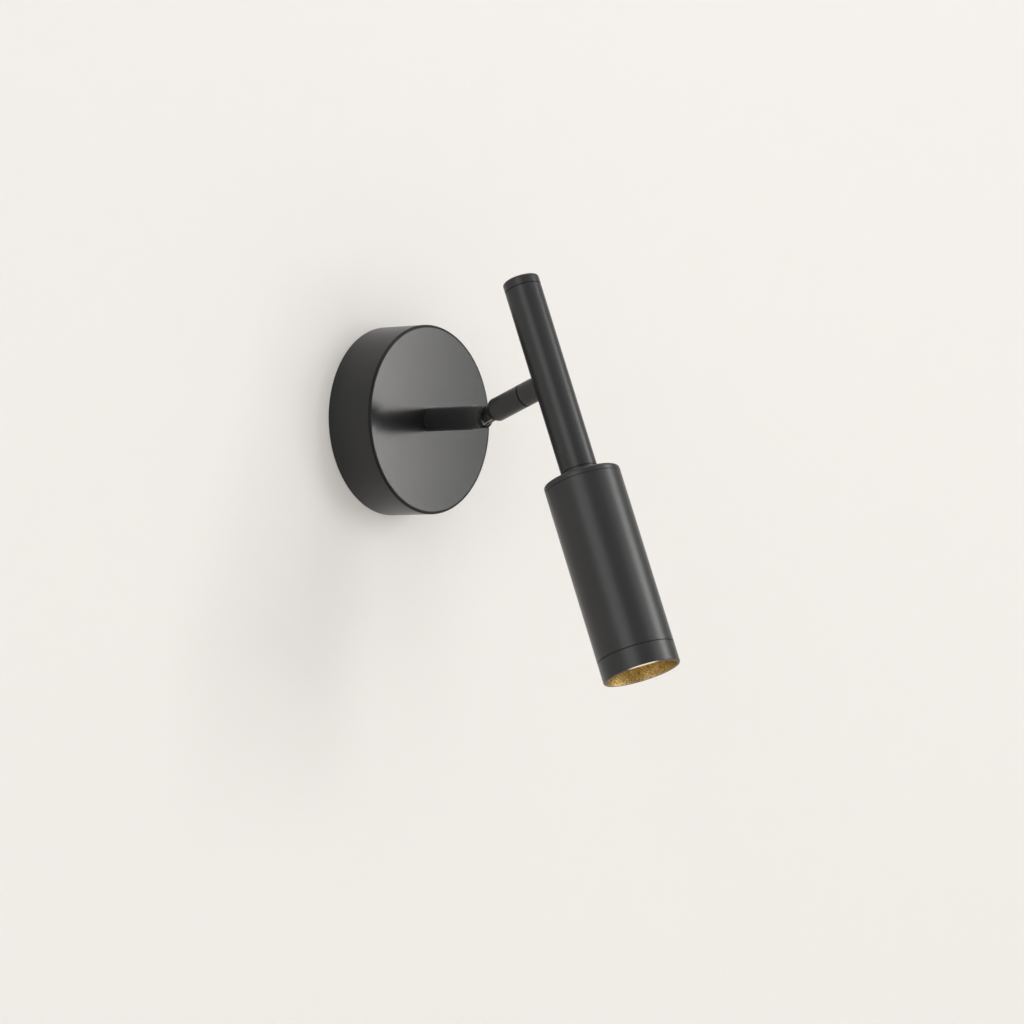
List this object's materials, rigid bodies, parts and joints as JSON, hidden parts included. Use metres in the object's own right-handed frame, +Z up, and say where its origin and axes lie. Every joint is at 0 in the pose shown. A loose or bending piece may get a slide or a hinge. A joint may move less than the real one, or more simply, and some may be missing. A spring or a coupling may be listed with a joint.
{
  "type": "pivoting spotlight wall light",
  "caption": "Black wall spotlight: round canopy, short arm with a tilting knuckle and a turning joint, slim tube and cylindrical head with a gold mouth",
  "frame": {"origin": "centre of the canopy's wall side, in the wall's plane and midway between the bracket's two slots", "axes": "+Z up, +Y into the wall, so the lamp stands out along -Y, and +X to the right as seen from the room"},
  "size_m": [0.1, 0.1835, 0.2126],
  "materials": {
    "black_paint": "satin black powder coat, very fine grain",
    "zinc_steel": "zinc plated, slightly dull",
    "black_steel": "blackened",
    "brass": "turned, unpolished",
    "gold": "gold anodised, satin",
    "white_plastic": "moulded",
    "nylon": "moulded, black",
    "bare_aluminium": "as extruded",
    "board_white": "white solder mask on an aluminium board",
    "emitter_yellow": "silicone over the chips",
    "reflector_bright": "bright metallised",
    "clear_lens": "clear with a fine frosted back",
    "rubber_black": "matte",
    "lead_brown": "smooth sleeve",
    "lead_green": "smooth sleeve",
    "lead_red": "smooth sleeve"
  },
  "bodies": {
    "base": {"wall_bracket": "zinc_steel", "canopy": "black_paint", "canopy_set_screws": "black_steel", "terminal_block": "white_plastic", "terminal_inserts": "brass", "terminal_screws": "zinc_steel", "terminal_fixing_screw": "zinc_steel", "driver_case": "white_plastic", "driver_screws": "zinc_steel", "earth_screw": "brass", "earth_washer": "brass", "mains_leads": "lead_brown", "earth_lead": "lead_green", "base_leads": "lead_red", "arm_nipple": "zinc_steel", "arm_star_washer": "zinc_steel", "arm_lock_nut": "zinc_steel", "base_stem": "black_paint", "pivot_screw": "black_steel", "friction_washers": "nylon"},
    "arm": {"arm_stem": "black_paint", "swivel_bush": "brass", "swivel_spring_washer": "zinc_steel", "swivel_stop_pin": "zinc_steel", "arm_leads": "lead_red"},
    "head": {"swivel_spindle": "brass", "swivel_sleeve": "black_paint", "tube": "black_paint", "tube_insert": "brass", "tube_cap": "black_paint", "head_cap": "black_paint", "head_cap_set_screw": "black_steel", "head_housing": "black_paint", "heat_sink": "bare_aluminium", "led_board": "board_white", "board_screws": "zinc_steel", "led_emitter": "emitter_yellow", "reflector": "reflector_bright", "lens": "clear_lens", "lens_gasket": "rubber_black", "baffle": "gold", "bezel": "black_paint", "head_leads": "lead_red"}
  },
  "joints": [
    {"name": "knuckle_tilt", "type": "hinge", "parent": "base", "child": "arm", "pos_m": [0, -0.0631, 0], "axis": [-1, 0, 0], "range_deg": [-50, 38]},
    {"name": "head_swivel", "type": "hinge", "parent": "arm", "child": "head", "pos_m": [0, -0.10794, 0.01712], "axis": [0, -0.9342, 0.3567], "range_deg": [-165, 165]}
  ]
}
